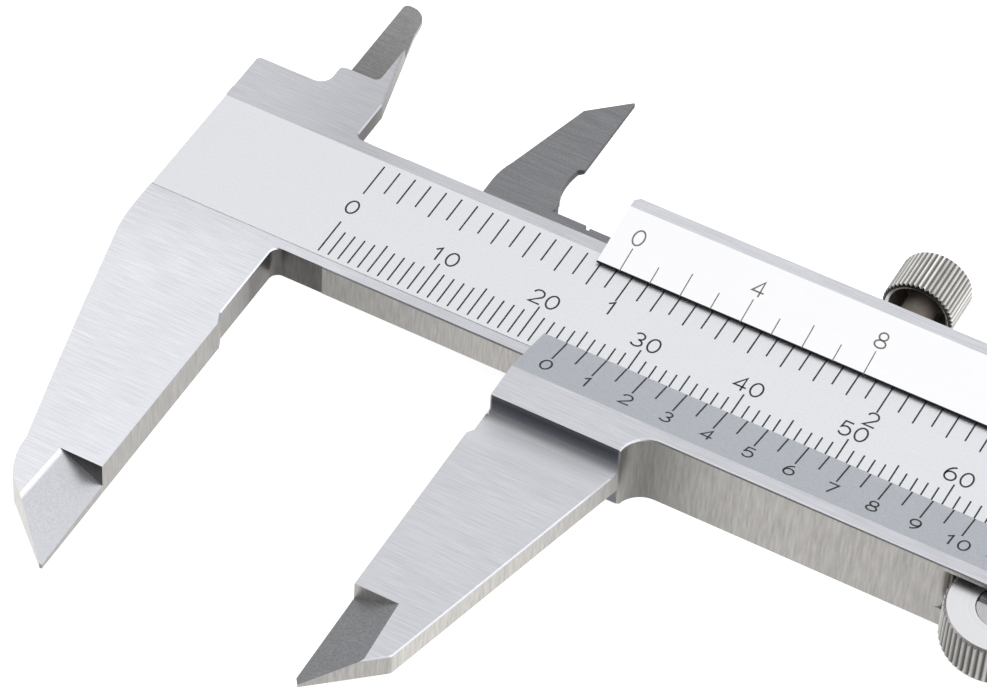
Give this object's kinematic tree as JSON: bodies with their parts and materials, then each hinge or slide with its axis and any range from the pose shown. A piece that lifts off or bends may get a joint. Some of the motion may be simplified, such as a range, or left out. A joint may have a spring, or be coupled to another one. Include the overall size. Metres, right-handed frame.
{
  "type": "vernier caliper",
  "caption": "Vernier caliper for outside, inside and depth measuring, with a one-piece slider, knurled lock screw and thumb roller.",
  "frame": {"origin": "on the beam's back face, on its centre line, under the zero of the main scale", "axes": "+X along the beam towards the depth rod, +Y towards the inside jaws, +Z out of the graduated face"},
  "size_m": [0.2575, 0.0733, 0.0075],
  "materials": {
    "satin_steel": "fine ground stainless steel with a sunk satin-chromed graduated face",
    "slider_steel": "fine ground stainless steel with satin bevels for the verniers",
    "plate_steel": "satin stainless sheet",
    "rod_steel": "drawn stainless flat, lightly brushed",
    "knob_steel": "straight-knurled bright steel",
    "screw_steel": "turned steel",
    "gib_bronze": "phosphor bronze strip",
    "pad_brass": "turned brass"
  },
  "bodies": {
    "beam": {"beam": "satin_steel", "end_stop_plate": "plate_steel", "end_stop_screws": "screw_steel"},
    "slider": {"slider": "slider_steel", "gib_strip": "gib_bronze", "gib_screws": "screw_steel", "back_cover": "plate_steel", "cover_screws": "screw_steel", "depth_rod": "rod_steel", "rod_screw": "screw_steel", "roller_axle": "screw_steel", "roller_washer": "screw_steel"},
    "lock_pad": {"lock_pad": "pad_brass"},
    "lock_screw": {"lock_screw": "knob_steel"},
    "thumb_roller": {"thumb_roller": "knob_steel"}
  },
  "joints": [
    {"name": "slider_travel", "type": "slide", "parent": "beam", "child": "slider", "axis": [1, 0, 0], "range_m": [-0.02415, 0.12835]},
    {"name": "lock_advance", "type": "slide", "parent": "slider", "child": "lock_pad", "axis": [0, 1, 0], "range_m": [-0.00025, 0.001]},
    {"name": "lock_turn", "type": "hinge", "parent": "lock_pad", "child": "lock_screw", "pos_m": [0.0484, 0.0181, 0.00165], "axis": [0, 1, 0], "range_deg": [-181, 721]},
    {"name": "roller_turn", "type": "hinge", "parent": "slider", "child": "thumb_roller", "pos_m": [0.0693, -0.01282, 0.002], "axis": [0, 0, 1], "range_deg": [-278, 1470]}
  ],
  "couplings": [
    {"joint": "lock_turn", "follows": "lock_advance", "rad_per_m": 12566},
    {"joint": "roller_turn", "follows": "slider_travel", "rad_per_m": 199.4}
  ]
}
